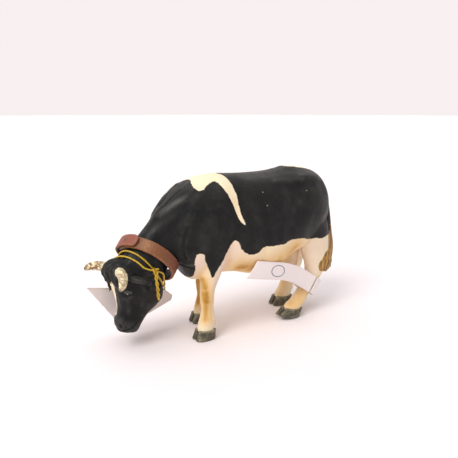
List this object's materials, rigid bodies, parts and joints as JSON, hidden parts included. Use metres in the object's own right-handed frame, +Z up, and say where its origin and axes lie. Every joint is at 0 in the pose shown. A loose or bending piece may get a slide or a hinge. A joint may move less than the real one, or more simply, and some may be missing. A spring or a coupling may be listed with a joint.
{
  "type": "cow figurine",
  "caption": "Moulded grazing cow figurine with leather collar, gold cord, folded card tag and paper leg label.",
  "frame": {"origin": "on the floor, under the middle of the box of everything but the cord", "axes": "the cow looks along -X, its left side is -Y, +Z is up"},
  "size_m": [0.1298, 0.0396, 0.077],
  "materials": {
    "hide": "satin black paint over moulded plastic, with cream patches",
    "leg": "cream paint with ochre shading and dark grey-green hooves",
    "udder": "peach paint",
    "tail": "black dock, streaked golden-brown switch",
    "horn": "cream paint with brown growth lines",
    "leather": "reddish brown, worn",
    "rivet": "dull silver",
    "cord": "golden yellow twist",
    "card": "pinkish white, bare",
    "label": null
  },
  "bodies": {
    "figure": {"torso": "hide", "head": "hide", "left_fore_leg": "leg", "right_fore_leg": "leg", "left_hind_leg": "leg", "right_hind_leg": "leg", "udder": "udder", "tail": "tail", "left_horn": "horn", "right_horn": "horn", "left_ear": "hide", "right_ear": "hide", "neck_cord": "cord", "cord_knot": "cord", "cord_tail": "cord", "tag_cord": "cord"},
    "collar": {"collar_strap": "leather", "collar_rivet": "rivet"},
    "tag_front": {"tag_front_leaf": "card"},
    "tag_back": {"tag_back_leaf": "card"},
    "label": {"leg_label": "label"}
  },
  "joints": [
    {"name": "collar_turn", "type": "hinge", "parent": "figure", "child": "collar", "pos_m": [-0.03863, 0.0007, 0.0394], "axis": [0.6513, 0.3362, 0.6803], "range_deg": [-60, 60]},
    {"name": "tag_swing", "type": "hinge", "parent": "figure", "child": "tag_front", "pos_m": [-0.04473, 0.0134, 0.0233], "axis": [0.9844, 0, -0.1761], "range_deg": [-10, 30]},
    {"name": "tag_fold", "type": "hinge", "parent": "tag_front", "child": "tag_back", "pos_m": [-0.04473, 0.0134, 0.0233], "axis": [0.9844, 0, -0.1761], "range_deg": [0, 35]},
    {"name": "label_turn", "type": "hinge", "parent": "figure", "child": "label", "pos_m": [0.04594, -0.0095, 0.01666], "axis": [0.4848, 0, 0.8746], "range_deg": [0, 15]}
  ]
}
